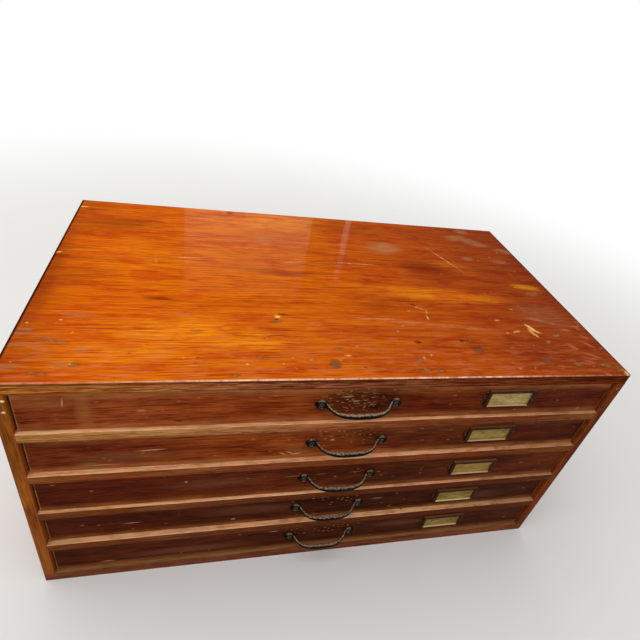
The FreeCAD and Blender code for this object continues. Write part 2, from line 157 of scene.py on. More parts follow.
# oval marks, each as x, y, half length, half width, turn in degrees, strength
def patches(tree, place, marks, soft=0.4):
    mask = 0.0
    for x, y, halfLong, halfShort, turn, strength in marks:
        local = addNode(tree, "VectorMath", minus, [place, (x, y, 0.0)])
        local = addNode(tree, "VectorRotate", aboutZ, {"Vector": local, "Angle": math.radians(-turn)})
        local = addNode(tree, "VectorMath", divided, [local, (halfLong, halfShort, 1.0)])
        reach = addNode(tree, "VectorMath", lengthOf, [local], "Value")
        patch = addNode(tree, "MapRange", smooth, [reach, 1.0 + soft, 1.0 - soft, 0.0, strength])
        mask = addNode(tree, "Math", larger, [mask, patch])
    return mask


# small separate flecks, one in some of the cells of a grid of that size
def flecks(tree, place, cell, radius, share, stretch=1.0, turn=0.0):
    turned = addNode(tree, "VectorRotate", aboutZ, {"Vector": place, "Angle": math.radians(-turn)})
    spread = addNode(tree, "VectorMath", divided, [turned, (cell * stretch, cell, cell)])
    reach = addNode(tree, "TexVoronoi", inputs={"Vector": spread, "Scale": 1.0}, output="Distance")
    chance = addNode(tree, "SeparateXYZ", inputs=[reach.node.outputs["Color"]]).node.outputs
    spot = addNode(tree, "MapRange", smooth, [reach, radius / cell * 1.4, radius / cell * 0.6, 0.0, 1.0])
    kept = addNode(tree, "Math", {"operation": "LESS_THAN"}, [chance["X"], share])
    depth = addNode(tree, "MapRange", inputs=[chance["Y"], 0.0, 1.0, 0.35, 1.0])
    return allOf(tree, [spot, kept, depth])


# lays colours over one another, each where its mask says
def layOver(tree, colour, layers):
    for mask, tint in layers:
        colour = addNode(tree, "Mix", colourMix, {"Factor": mask, "A": colour, "B": tint}, "Result")
    return colour


# darkens a tone by a ramp that reads the grain or a cloud of soil
def shaded(tree, tone, shade, ramp):
    dark = addNode(tree, "ValToRGB", {"ramp": ramp}, [shade])
    return addNode(tree, "Mix", darken, {"Factor": 1.0, "A": tone, "B": dark}, "Result")


# the tone along a board from end to end, with a little drift so that no step is straight
def toneAlong(tree, place, along, start, end, ramp, size, shift):
    drift = streaks(tree, place, size, 2.0, 0.5, shift)
    share = addNode(tree, "MapRange", inputs=[along, start, end, 0.0, 1.0])
    share = addNode(tree, "Math", timesPlus, [drift, 0.24, share])
    share = addNode(tree, "Math", minus, [share, 0.12])
    return addNode(tree, "ValToRGB", {"ramp": ramp}, [share])


def upwardness(tree):
    normal = addNode(tree, "NewGeometry", output="Normal")
    return addNode(tree, "SeparateXYZ", inputs=[normal]).node.outputs["Z"]


def finishMaterial(tree, colour, roughness, specular, bump=None, **more):
    inputs = {"Base Color": colour, "Roughness": roughness, "Specular IOR Level": specular, **more}
    if bump:
        height, distance = bump
        inputs["Normal"] = addNode(
            tree, "Bump", inputs={"Strength": 0.5, "Distance": distance, "Height": height})
    shader = addNode(tree, "BsdfPrincipled", inputs=inputs)
    addNode(tree, "OutputMaterial", inputs={"Surface": shader})


cameraLook = {
    "place": (-0.2092, -0.6471, 0.8542),
    "right": (0.96564608, -0.19154385, 0.17560925),
    "up": (-0.03498643, 0.57379845, 0.81824892),
    "ahead": (0.25749486, 0.7962828, -0.54738478),
    "lens": 26.426,
    "sensor": 36.0,
    "shift": (-0.01306, -0.04497),
    "nearest": 0.02,
}
backward = [-part for part in cameraLook["ahead"]]
turned = Matrix([cameraLook["right"], cameraLook["up"], backward]).transposed().to_4x4()
camera = bpy.data.objects.new("camera", bpy.data.cameras.new("camera"))
camera.data.lens = cameraLook["lens"]
camera.data.sensor_width = cameraLook["sensor"]
camera.data.shift_x, camera.data.shift_y = cameraLook["shift"]
camera.data.clip_start = cameraLook["nearest"]
camera.matrix_world = Matrix.Translation(cameraLook["place"]) @ turned
bpy.context.scene.collection.objects.link(camera)
bpy.context.scene.camera = camera
bpy.context.scene.view_settings.view_transform = "Standard"

studioLook = {
    "worldLevel": 0.55,          # the soft light from all round
    "overhead": {"place": (-0.75, -0.35, 2.3), "aim": (0.0, 0.0, 0.3), "size": 2.2, "power": 27.0},
    # panes far behind, as left, right, bottom, top and watts for a square metre: their reflections
    # are the milky oblong on the varnish, weaker towards its near end, and a narrow band beside it
    "paneDistance": 3.0,
    "panes": [
        (-0.377, 0.69, 1.45, 2.05, 17.0), (-0.377, 0.69, 2.05, 2.35, 11.0), (-0.377, 0.69, 2.35, 2.6, 5.0),
        (0.99, 1.045, 1.5, 2.1, 26.0), (0.99, 1.045, 2.1, 2.4, 14.0)],
    "paneTint": "#FFFFEA",
    "floorColour": "#F2F1EF",
    "floorRadius": 9.0,
    "floorDrop": 0.0004,         # below the base, so that the two don't share a plane
    "whiteFrom": 0.9,            # metres from the middle where the floor starts to fade to white
    "whiteAt": 2.2,
}


# how far a ray is one that should see plain white: from the camera, off a gloss or through glass
def whiteRays(tree):
    rays = addNode(tree, "LightPath").node.outputs
    seen = addNode(tree, "Math", larger, [rays["Is Camera Ray"], rays["Is Glossy Ray"]])
    return addNode(tree, "Math", larger, [seen, rays["Is Transmission Ray"]])


world = bpy.data.worlds.new("softStudio")
bpy.context.scene.world = world
world.use_nodes = True
tree = world.node_tree
tree.nodes.clear()
level = addNode(tree, "MapRange", inputs=[whiteRays(tree), 0.0, 1.0, studioLook["worldLevel"], 1.0])
addNode(tree, "OutputWorld", inputs={"Surface": addNode(tree, "Background", inputs=["#FFFFFF", level])})


def addLamp(name, place, aim, width, height, power, tint="#FFFFFF"):
    lamp = bpy.data.lights.new(name, "AREA")
    lamp.color = linear(tint)[:3]
    lamp.shape = "RECTANGLE"
    lamp.size, lamp.size_y, lamp.energy = width, height, power
    holder = bpy.data.objects.new(name, lamp)
    turn = (Vector(aim) - Vector(place)).to_track_quat("-Z", "Y")
    holder.matrix_world = Matrix.Translation(place) @ turn.to_matrix().to_4x4()
    bpy.context.scene.collection.objects.link(holder)


overhead = studioLook["overhead"]
addLamp("overhead", overhead["place"], overhead["aim"], overhead["size"], overhead["size"], overhead["power"])
for number, (left, right, bottom, top, watts) in enumerate(studioLook["panes"]):
    width, height = right - left, top - bottom
    place = ((left + right) / 2, studioLook["paneDistance"], (bottom + top) / 2)
    aim = (place[0], 0.0, place[2])
    addLamp(f"pane{number}", place, aim, width, height, watts * width * height, studioLook["paneTint"])

disc = bmesh.new()
bmesh.ops.create_circle(disc, cap_ends=True, segments=96, radius=studioLook["floorRadius"])
floorMesh = bpy.data.meshes.new("floor")
disc.to_mesh(floorMesh)
disc.free()
floor = bpy.data.objects.new("floor", floorMesh)
floor.location.z = -studioLook["floorDrop"]
bpy.context.scene.collection.objects.link(floor)
floorMaterial, tree = newMaterial("matt pale studio floor")
distance = addNode(tree, "VectorMath", lengthOf, [addNode(tree, "TexCoord", output="Object")], "Value")
fade = addNode(tree, "MapRange", smooth, [distance, studioLook["whiteFrom"], studioLook["whiteAt"], 0.0, 1.0])
fade = allOf(tree, [fade, whiteRays(tree)])
paint = addNode(tree, "BsdfDiffuse", inputs=[studioLook["floorColour"]])
glow = addNode(tree, "Emission", inputs=["#FFFFFF", 1.0])
addNode(tree, "OutputMaterial", inputs={"Surface": addNode(tree, "MixShader", inputs=[fade, paint, glow])})
floorMesh.materials.append(floorMaterial)
print("camera, lamps and floor are set")


# Slab-sawn pine under old amber shellac: the varnish makes it a deep clear orange that shines
# like glass, and years of cases set down on it left scuffs, rings and chips towards the front.
# The late wood is drawn 3 mm apart, about twice as coarse as real, so that it shows.
topLook = {
    "grain": {
        "wave": (240.0, 60.0, 18.0),
        "layers": [(380.0, 16.0, 0.22), (110.0, 2.6, 0.42), (36.0, 1.5, 0.36)]},
    "tone": [
        (0.0, "#C46002"), (0.07, "#DC6E02"), (0.22, "#DE7404"), (0.45, "#D46E06"), (0.6, "#C45E08"),
        (0.75, "#B4520C"), (0.88, "#A0460A"), (1.0, "#96420A")],
    "late": [(0.33, "#9C5220"), (0.44, "#E0B48A"), (0.58, "#FFFFFF")],
    "mottle": [(0.36, "#F0D0C0"), (0.5, "#FFFFFF")],
    "vein": "#7C3206",
    "bloom": "#D67A4E",
    # marks in millimetres on the board: broad stains, rubbed haze and rings, and scratches and chips
    "golden": ("#FFA414", [
        (-237, -141, 75, 22, 2, 0.6), (-146, -160, 55, 20, 0, 0.45), (-285, -185, 90, 20, 3, 0.4),
        (175, -35, 110, 17, -5, 0.5), (-330, 30, 80, 40, 0, 0.2), (-90, 200, 110, 30, 0, 0.4)]),
    "dark": ("#7C2800", [
        (-354, 150, 50, 26, 10, 0.45), (205, 42, 50, 32, -12, 0.6), (-428, -30, 16, 150, 0, 0.45),
        (60, 200, 80, 26, 0, 0.25), (428, 60, 22, 170, 0, 0.4), (318, -175, 70, 34, -10, 0.4),
        (-100, 15, 60, 8, -6, 0.4), (-265, -72, 22, 3, -8, 0.7), (62, -77, 26, 12, 0, 0.35),
        (148, -174, 26, 2, 0, 0.7), (-154, -151, 20, 2, -4, 0.5), (-110, -151, 16, 2, 6, 0.6),
        (194, -168, 16, 16, 0, 0.4)]),
    "yellow": ("#E09A14", [(384, -1, 27, 8, -12, 0.75), (255, 62, 40, 14, -15, 0.25)]),
    "haze": ("#A87C54", [
        (131, 120, 31, 20, 0, 0.75), (368, -87, 44, 30, -25, 0.25), (320, 186, 24, 12, 10, 0.6),
        (352, 170, 32, 14, -25, 0.6), (415, 137, 22, 10, -20, 0.6), (347, 218, 16, 9, 0, 0.6),
        (380, 92, 16, 8, 0, 0.5), (308, 96, 12, 7, 0, 0.5), (386, -22, 14, 6, 0, 0.6),
        (-100, 123, 13, 12, 30, 0.45), (-367, -112, 18, 5, -3, 0.4), (-421, -147, 10, 6, 10, 0.5),
        (-415, -173, 26, 4, 0, 0.4), (-349, -182, 9, 5, 0, 0.35), (-366, -206, 12, 4, 0, 0.5),
        (-418, -210, 14, 5, 0, 0.45), (-237, -106, 12, 3.5, -3, 0.4), (20, -174, 20, 4, 0, 0.3),
        (338, -72, 14, 5, -60, 0.45), (352, -104, 28, 4, -18, 0.5), (-47, -122, 10, 4, 0, 0.3)]),
    "scratch": ("#E4AC64", [
        (-234, 46, 27, 1.5, 8, 0.7), (-58, 49, 19, 1.4, 12, 0.45), (50, 55, 42, 1.6, -2, 0.55),
        (250, 90, 44, 1.7, -64, 0.6), (135, -77, 9, 1.2, -20, 0.6), (144, -86, 1.3, 6, -20, 0.7),
        (-284, 34, 1.1, 11, 5, 0.4), (-212, -208, 11, 1.2, 2, 0.4)]),
    "smear": ("#D88A50", [
        (58, -109, 36, 3.0, -2, 0.6), (97, -115, 28, 4.4, -9, 0.55), (141, -119, 32, 3.6, -5, 0.5),
        (200, -126, 46, 3.4, -7, 0.4)]),
    "scuff": ("#AE6C46", [
        (404, -165, 9, 2.4, -40, 0.8), (391, -190, 14, 2.2, -25, 0.7), (414, -118, 7, 2.2, 0, 0.8),
        (386, -128, 8, 2.6, -10, 0.8), (370, -171, 8, 4, -50, 0.7), (331, -159, 5, 3, 30, 0.7),
        (378, -205, 10, 2, -20, 0.6), (410, -145, 8, 2.4, -35, 0.6)]),
    "hole": ("#4A1E08", [
        (-94, -102, 8, 1.6, -4, 0.9), (-105, -114, 4, 1.2, 10, 0.8), (-163, 225, 6, 4, 0, 0.7),
        (101, -162, 6, 3, 0, 0.8), (176, -158, 5, 3, 0, 0.8), (127, -68, 5, 2, 0, 0.7)]),
    "grey": ("#9C7848", [
        (-387, -163, 11.0, 2.0, -12, 0.7), (-373, -167, 6.0, 2.1, -10, 0.6),
        (-391, -219, 3.8, 1.9, 0, 0.6), (-380, -222, 3.8, 2.4, 0, 0.72),
        (-351, -206, 3.3, 2.5, 0, 0.7), (-132, -194, 5.2, 2.2, -8, 0.6),
        (-111, -188, 3.4, 1.5, 0, 0.6), (-166, -181, 3.8, 1.2, 0, 0.5),
        (-168, -227, 4.5, 1.7, 10, 0.7), (-215, -142, 5.2, 2.0, 0, 0.6), (88, -203, 4.9, 2.4, 0, 0.7),
        (92, -220, 4.5, 2.4, 0, 0.7), (114, -222, 4.5, 2.0, 0, 0.72), (77, -221, 2.7, 1.5, 0, 0.6),
        (-24, -176, 4.5, 1.8, 0, 0.6), (272, -216, 4.1, 2.4, -10, 0.7),
        (350, -210, 7.6, 3.6, -12, 0.72), (256, -174, 4.5, 3.0, 0, 0.5),
        (401, -213, 10.2, 3.9, -6, 0.7), (419, -223, 5.2, 3.0, -20, 0.7),
        (358, -142, 7.6, 3.4, 10, 0.7), (424, -173, 4.5, 2.6, 0, 0.6), (179, -160, 3.4, 1.8, 0, 0.6),
        (-105, -119, 6.0, 2.1, 12, 0.72), (165, -230, 4.5, 1.5, 0, 0.6)]),
    "bruise": ("#6A5442", [
        (-36, -208, 5.4, 5.4, 0, 0.8), (194, -180, 5, 4.6, 0, 0.6), (299, -200, 7, 7, 0, 0.4)]),
    "chip": ("#ECB266", [
        (-103, -108, 4.4, 2.8, 0, 1.0), (320, -125, 3.0, 13, 28, 1.0), (322, -131, 11, 2.2, -30, 0.8),
        (316, -138, 2.6, 10, 20, 0.8), (287, -134, 8, 1.6, 14, 0.6), (266, -105, 4.6, 1.4, 8, 0.5),
        (268, -138, 3, 1.6, 0, 0.5), (-384, -123, 2.2, 1.2, 0, 0.55), (-420, -131, 1.6, 1.4, 0, 0.55),
        (-365, -148, 1.6, 1.4, 0, 0.5), (-152, -207, 2.2, 1.6, 0, 0.8), (77, -137, 2.6, 1.2, 10, 0.5),
        (89, -124, 2.4, 1.2, 20, 0.55), (98, -196, 1.4, 3.0, -20, 0.5), (112, -190, 2.4, 1.3, 35, 0.5),
        (140, -102, 1.2, 4.6, 5, 0.75), (114, -85, 4, 1.0, 30, 0.5), (-14, -191, 5, 1.4, 0, 0.7),
        (429, -232, 6, 5, 0, 1.0), (-424, 206, 8, 1.8, 5, 0.9), (-428, 43, 6, 1.8, 5, 0.9)]),
    # broad stains fray along the grain, and small marks have torn outlines
    "fray": ((30.0, 5.0, 5.0), (36.0, 11.0, 0.0), 5.0),
    "tear": ((5.0, 3.4, 3.4), (9.0, 7.0, 0.0), 8.0),
    "stainSoftness": 0.7,
    "softness": {
        "haze": 0.5, "smear": 0.9, "scratch": 0.6, "scuff": 0.6, "hole": 0.45, "bruise": 0.4, "grey": 0.6,
        "chip": 0.35},
    "ringSize": 1.5,             # the dark ring round a grey mark, as a share of the mark
    "ringStrength": 0.6,
    "toneDrift": (260.0, 90.0, 90.0),
    "mottleCloud": ((60.0, 18.0, 18.0), 3.0, 0.6, 21.0),
    "veinCloud": ((150.0, 2.4, 2.4), 2.0, 0.6, 19.0, (0.56, 0.68), (0.0, 0.4)),
    "bloomCloud": ((34.0, 7.0, 7.0), 4.0, 0.65, 25.0, (0.46, 0.66), (0.0, 0.28)),
    "rubCloud": ((26.0, 4.0, 4.0), 3.0, 0.65, 9.0, (0.38, 0.62), (0.35, 1.0)),
    "gritCloud": ((3.4, 2.2, 2.2), 2.0, 0.6, 15.0, (0.38, 0.6), (0.3, 1.0)),
    "breakCloud": ((15.0, 300.0, 300.0), 4.0, 0.7, 1.0, (0.36, 0.58), (0.3, 1.0)),
    "ripple": ((90.0, 30.0, 30.0), 2.0, 0.5, 12.0),
    # where flecks of lost varnish and dark pits lie: at the front edge, on the right, in the corner
    "fore": (-60.0, -225.0),
    "right": (120.0, 400.0, 0.9),
    "cornerDepth": (-70.0, -120.0),
    "cornerWidth": (330.0, 385.0),
    # flecks as cell, radius, share of the cells, stretch, turn, where and colour
    "speckles": [
        (12.0, 1.1, 0.3, 1.3, 0.0, "fore", "#E0A054"), (23.0, 2.2, 0.3, 1.5, 0.0, "fore", "#AC8450"),
        (15.0, 1.2, 0.4, 1.8, 0.0, "fore", "#5A200A"), (13.0, 2.2, 0.6, 2.6, -32.0, "corner", "#AE6E48")],
    # how strong the pale front arris is, from the left end to the right: rubbed wood with a painted highlight
    # in runs
    "arris": [
        (0.0, "#909090"), (0.1, "#808080"), (0.22, "#C0C0C0"), (0.32, "#FFFFFF"), (0.5, "#D0D0D0"),
        (0.6, "#FFFFFF"), (0.74, "#F0F0F0"), (0.84, "#909090"), (1.0, "#707070")],
    "arrisRubAndHighlight": "#FFD4B0",
    "shadeUnderArris": "#3E1204",
    "sideArris": "#2C1206",
    "arrisDepth": (1.9, 1.1),    # below the top, and in from the front, where it starts and is full
    "arrisReach": (2.0, 1.0),
    "under": 0.6,                # painted shade: a dark line just under the arris, and the painted shadow of the gap at the foot of the edge
    "shadeUnderArrisDepth": (5.0, 4.0, 1.6, 2.2),
    "gapShadowAtFoot": (2.4, 0.8, 0.55),
    "faceDepth": (2.2, 0.7),     # how far down the face's own finish goes
    "endWidths": (5.0, 2.6, 4.4, 2.4),
    "endShare": 0.92,
    "edgeDrift": (60.0, 30.0, 30.0),
    "edgeTone": [
        (0.0, "#CB833B"), (0.12, "#CC8642"), (0.24, "#C88650"), (0.36, "#B0704A"), (0.5, "#A46444"),
        (0.62, "#985634"), (0.8, "#884426"), (1.0, "#743418")],
    "edgeLate": [(0.36, "#5E3A28"), (0.48, "#C09C84"), (0.56, "#FFFFFF")],
    "varnish": 0.06,
    "varnishRoughness": 0.04,
    "varnishGone": 0.8,          # wear at which no gloss is left
}


def topMarks(tree, place, frayed, torn, look):
    marks = {name: look[name][1] for name in look["softness"]}
    # a dark ring lies round each grey mark
    size, strength = look["ringSize"], look["ringStrength"]
    marks["hole"] = marks["hole"] + [
        (markX, markY, halfLong * size, halfShort * size, turn, share * strength)
        for markX, markY, halfLong, halfShort, turn, share in marks["grey"] + marks["bruise"]]
    # some marks are rubbed or gritty
    rub = cloud(tree, place, look["rubCloud"])
    texture = {"haze": rub, "smear": rub, "scratch": rub, "grey": cloud(tree, place, look["gritCloud"])}
    masks = {}
    for name, softness in look["softness"].items():
        masks[name] = patches(tree, frayed if name == "haze" else torn, marks[name], softness)
        if name in texture:
            masks[name] = allOf(tree, [masks[name], texture[name]])
    return masks


def topFace(tree, place, shade, frayed, torn, masks, look):
    low, high = boxOf("top_board")
    x, y, z = addNode(tree, "SeparateXYZ", inputs=[place]).node.outputs
    tone = toneAlong(tree, place, x, low.x, high.x, look["tone"], look["toneDrift"], 2.0)
    tone = layOver(tree, tone, [
        (patches(tree, frayed, look[name][1], look["stainSoftness"]), look[name][0])
        for name in ("golden", "dark", "yellow")])
    tone = shaded(tree, tone, streaks(tree, place, *look["mottleCloud"]), look["mottle"])
    colour = shaded(tree, tone, shade, look["late"])

    # some late-wood lines stand out, and towards the front the varnish has bloomed in cloudy patches
    fore = addNode(tree, "MapRange", smooth, [y, *look["fore"], 0.0, 1.0])
    bloom = allOf(tree, [cloud(tree, place, look["bloomCloud"]), fore])
    colour = layOver(tree, colour, [
        (cloud(tree, place, look["veinCloud"]), look["vein"]), (bloom, look["bloom"])])
    colour = layOver(tree, colour, [(mask, look[name][0]) for name, mask in masks.items()])

    start, full, share = look["right"]
    right = addNode(tree, "MapRange", smooth, [x, start, full, 0.0, share])
    where = {
        "fore": addNode(tree, "Math", larger, [fore, right]),
        "corner": allOf(tree, [
            addNode(tree, "MapRange", smooth, [y, *look["cornerDepth"], 0.0, 1.0]),
            addNode(tree, "MapRange", smooth, [x, *look["cornerWidth"], 0.0, 1.0])])}
    return layOver(tree, colour, [
        (allOf(tree, [flecks(tree, torn, *pattern), where[region]]), tint)
        for *pattern, region, tint in look["speckles"]])


def topArrises(tree, place, look):
    low, high = boxOf("top_board")
    x, y, z = addNode(tree, "SeparateXYZ", inputs=[place]).node.outputs
    leftStart, leftFull, rightStart, rightFull = look["endWidths"]
    ends = bandsOf(tree, [
        (x, low.x + leftStart, low.x + leftFull), (x, high.x - rightStart, high.x - rightFull)],
        look["endShare"])

    # the rounded front arris is pale in runs: in part rubbed through to pale wood, in part a painted
    # highlight
    run = addNode(tree, "MapRange", inputs=[x, low.x, high.x, 0.0, 1.0])
    run = addNode(tree, "ValToRGB", {"ramp": look["arris"]}, [run])
    upStart, upFull = (high.z - depth for depth in look["arrisDepth"])
    inStart, inFull = (low.y + reach for reach in look["arrisReach"])
    front = allOf(tree, [
        run, cloud(tree, place, look["breakCloud"]),
        addNode(tree, "MapRange", smooth, [z, upStart, upFull, 0.0, 1.0]),
        addNode(tree, "MapRange", smooth, [y, inStart, inFull, 0.0, 1.0])])

    # a painted shade line lies under it, and the painted shadow of the gap to the drawer along the foot of
    # the edge
    footStart, footFull, headStart, headFull = (high.z - depth for depth in look["shadeUnderArrisDepth"])
    under = allOf(tree, [
        look["under"],
        addNode(tree, "MapRange", smooth, [z, footStart, footFull, 0.0, 1.0]),
        addNode(tree, "MapRange", smooth, [z, headStart, headFull, 0.0, 1.0])])
    start, full, share = look["gapShadowAtFoot"]
    foot = addNode(tree, "MapRange", smooth, [z, low.z + start, low.z + full, 0.0, share])
    return ends, addNode(tree, "Math", larger, [under, foot]), front


def makeTopPine(look):
    low, high = boxOf("top_board")
    material, tree = newMaterial("amber shellac on pine")
    place = placeAlong(tree)
    x, y, z = addNode(tree, "SeparateXYZ", inputs=[place]).node.outputs
    flat = addNode(tree, "CombineXYZ", inputs=[x, y])
    shade = grainShade(tree, place, look["grain"])
    frayed = ragged(tree, flat, *look["fray"])
    torn = ragged(tree, flat, *look["tear"])
    masks = topMarks(tree, place, frayed, torn, look)
    face = topFace(tree, place, shade, frayed, torn, masks, look)

    # the board's edges: brown, no gloss left, drawn with stronger lines
    edge = toneAlong(tree, place, x, low.x, high.x, look["edgeTone"], look["edgeDrift"], 4.0)
    edge = shaded(tree, edge, grainShade(tree, place, frontLook["grain"], 33.0), look["edgeLate"])
    start, full = (high.z - depth for depth in look["faceDepth"])
    upper = addNode(tree, "MapRange", smooth, [z, start, full, 0.0, 1.0])
    ends, under, front = topArrises(tree, place, look)
    # over the edge go the face's finish, the dark ends, the painted shade under the arris and at the foot,
    # and the pale arris with its painted highlight
    colour = layOver(tree, edge, [
        (upper, face), (ends, look["sideArris"]), (under, look["shadeUnderArris"]),
        (front, look["arrisRubAndHighlight"])])

    # gloss goes where the varnish has gone
    worn = addNode(tree, "Math", larger, [front, ends])
    for name in ("haze", "scuff", "grey", "hole", "chip"):
        worn = addNode(tree, "Math", larger, [worn, masks[name]])
    gloss = addNode(tree, "MapRange", inputs=[worn, 0.0, look["varnishGone"], look["varnish"], 0.0])
    ripple = addNode(tree, "Bump", inputs={
        "Strength": 0.4, "Distance": 0.0006, "Height": streaks(tree, place, *look["ripple"])})
    finishMaterial(tree, colour, 0.5, 0.0, (shade, 0.0002), **{
        "Coat Weight": allOf(tree, [gloss, upper]), "Coat Roughness": look["varnishRoughness"],
        "Coat Normal": ripple})
    return material


# Pine wiped with a thin dark shellac that has gone matt: red-brown with fine dark late-wood lines,
# handled until its corners are pale, flecked behind the pulls, and darkened there by stains and painted
# shade.
# The lines are drawn 2 mm apart, coarser than real, so that they show.
frontLook = {
    "grain": {
        "wave": (260.0, 40.0, 12.0),
        "layers": [(420.0, 12.0, 0.1), (110.0, 2.2, 0.38), (26.0, 1.1, 0.52)]},
    "late": [(0.35, "#7E5238"), (0.45, "#CEAC96"), (0.55, "#FFFFFF")],
    "soil": [(0.35, "#CCB4A4"), (0.6, "#FFFFFF")],
    "bareSoil": [(0.35, "#E2D6CA"), (0.6, "#FFFFFF")],
    "fleckTint": "#C08A54",
    "rubTint": "#C08450",
    "paleFootHeadTint": "#D4884C",
    "bare": [(0.38, "#7E5A36"), (0.6, "#B08A5C")],
    "toneDrift": (110.0, 22.0, 22.0),
    "soilCloud": ((70.0, 16.0, 16.0), 3.0, 0.6),
    "fray": ((9.0, 3.0, 3.0), (12.0, 3.0, 0.0)),
    "score": ((9.0, 3.0, 3.0), (2.0, 1.0, 0.0)),
    "markSoftness": 0.7,
    "footBand": (14.0, 2.0),     # in from the foot and from the head, where the board gets lighter
    "headBand": (18.0, 4.0),
    "paleFootHeadCloud": ((60.0, 14.0, 14.0), 3.0, 0.6, 8.0, (0.36, 0.6), (0.4, 1.0)),
    "lineCloud": ((30.0, 2.4, 2.4), 2.0, 0.6, 9.0, (0.34, 0.56), (0.45, 1.0)),
    "rubCloud": ((80.0, 20.0, 20.0), 4.0, 0.65, 4.0, (0.36, 0.6), (0.3, 0.85)),
    "fleck": (2.8, 0.75, 3.0),   # cell, radius and stretch behind the pull
    "stray": (9.0, 1.1, 0.4, 2.6),
    "strayStrength": 0.5,
    "footRim": (2.4, 0.6),       # in from the board's outline, where the rubbed arris starts and is full
    "headRim": (2.2, 0.6),
    "insideBand": (1.2, 0.4),
}
# each drawer: its tone from the left end to the right, darker from row to row downwards, partly as painted
# shade, the flecks behind the pull as middle, half length, half height and share, how much lighter it is at
# foot and head, and its marks
drawerLooks = {
    1: {
        "tone": [
            (0.0, "#9B4A21"), (0.12, "#A75326"), (0.3, "#A9511E"), (0.5, "#954618"), (0.62, "#7D3510"),
            (0.8, "#6B2D0B"), (1.0, "#6A2908")],
        "flecks": (-4, 392, 42, 26, 0.85),
        # the head share here is painted light, against the shade under the top's overhang
        "thin": (0.4, 0.42),
        "smudge": ("#B07840", [
            (-341, 384, 8, 30, 2, 0.28), (-277, 381, 5, 2, 0, 0.9), (-380, 396, 30, 8, 0, 0.2)]),
        "dark": ("#2A0E04", [
            (12, 388, 56, 29, 0, 0.8), (27, 377, 17, 9, 0, 1.0), (-234, 360, 6, 1.6, -10, 0.8),
            (-404, 366, 12, 2.2, 0, 0.7), (-48, 376, 10, 5, 0, 0.4), (130, 352, 60, 2.4, 0, 0.5),
            (-380, 353, 26, 1.4, 0, 0.5)]),
        "pale": ("#D8A078", [
            (-362, 398, 0.9, 6, -6, 0.6), (-170, 412, 60, 0.9, 0, 0.5), (-16, 397, 7, 1.2, 2, 0.6),
            (-2, 388, 6, 1.1, 0, 0.6)]),
    },
    2: {
        "tone": [
            (0.0, "#803C18"), (0.15, "#893D18"), (0.35, "#A8541D"), (0.5, "#934618"),
            (0.65, "#753A18"), (0.8, "#662C0B"), (1.0, "#572006")],
        "flecks": (-10, 312, 58, 20, 0.45),
        "thin": (0.48, 0.12),
        "smudge": ("#94603A", [
            (-300, 290, 60, 10, 0, 0.3), (-346, 280, 14, 3, 0, 0.5), (-70, 282, 16, 12, 0, 0.35)]),
        "dark": ("#220B04", [
            (0, 318, 60, 5, 0, 0.3), (48, 318, 36, 18, 0, 0.5), (40, 290, 14, 5, 0, 0.6),
            (-50, 292, 12, 6, 0, 0.4)]),
        "pale": ("#D8A878", [
            (-268, 302, 14, 0.9, 2, 0.8), (-90, 279, 5, 0.9, -30, 0.7), (-80, 281, 5, 0.9, -30, 0.7),
            (-70, 278, 6, 1.0, 10, 0.8), (-20, 305, 3, 1.6, 0, 0.7), (-330, 276, 20, 0.9, 0, 0.5)]),
    },
    3: {
        "tone": [
            (0.0, "#6B2709"), (0.15, "#67290A"), (0.35, "#6F3011"), (0.5, "#6C2F10"),
            (0.65, "#5E2D10"), (0.85, "#652D0C"), (1.0, "#71340E")],
        "flecks": (0, 232, 56, 18, 0.12),
        "thin": (0.3, 0.0),
        "smudge": ("#84523A", [(-180, 222, 60, 10, 0, 0.3)]),
        "dark": ("#1A0803", [
            (-400, 215, 40, 20, 0, 0.3), (-10, 238, 64, 22, 0, 0.35), (60, 205, 60, 10, 0, 0.4),
            (-48, 216, 12, 5, 0, 0.5)]),
        "pale": ("#C08058", [
            (-223, 229.4, 1.8, 1.8, 0, 1.0), (-64, 226, 14, 0.8, 1, 0.5), (-24, 227, 8, 0.8, 1, 0.5),
            (30, 227, 9, 0.8, 1, 0.5)]),
    },
    4: {
        "tone": [
            (0.0, "#5C250D"), (0.3, "#58260E"), (0.6, "#4A210C"), (0.8, "#481F0A"), (1.0, "#502509")],
        "flecks": (0, 148, 56, 18, 0.3),
        "thin": (0.3, 0.04),
        "smudge": ("#84523A", [(-120, 140, 70, 10, 0, 0.3), (300, 125, 40, 10, 0, 0.3)]),
        "dark": ("#1A0803", [(0, 150, 80, 8, 0, 0.4), (330, 120, 50, 16, 0, 0.3)]),
        "pale": ("#C89C80", [
            (-300, 130, 10, 0.8, 1, 0.7), (90, 142, 8, 0.9, 1, 0.6), (-150, 116, 3, 1.6, 0, 0.7)]),
    },
    5: {
        "tone": [
            (0.0, "#60290E"), (0.3, "#5E2A0F"), (0.6, "#53250E"), (0.8, "#4F240B"), (1.0, "#592A0B")],
        "flecks": (0, 65, 56, 18, 0.3),
        "thin": (0.3, 0.04),
        "smudge": ("#84523A", [(-220, 40, 80, 9, 0, 0.35), (150, 60, 50, 8, 0, 0.3)]),
        "dark": ("#1A0803", [(-30, 30, 90, 7, 0, 0.4), (-390, 60, 20, 22, 0, 0.4)]),
        "pale": ("#C89C80", [
            (-80, 70, 8, 0.8, 1, 0.7), (250, 34, 4, 1.2, 0, 0.8), (-340, 30, 9, 0.9, 0, 0.7)]),
    },
}


# lighter bands along a front's foot and head; at drawer 1's head this is painted light
def paleFootAndHead(tree, z, low, high, shares):
    footShare, headShare = shares
    start, full = (low.z + inset for inset in frontLook["footBand"])
    foot = addNode(tree, "MapRange", smooth, [z, start, full, 0.0, footShare])
    start, full = (high.z - inset for inset in frontLook["headBand"])
    head = addNode(tree, "MapRange", smooth, [z, start, full, 0.0, headShare])
    return addNode(tree, "Math", larger, [foot, head])


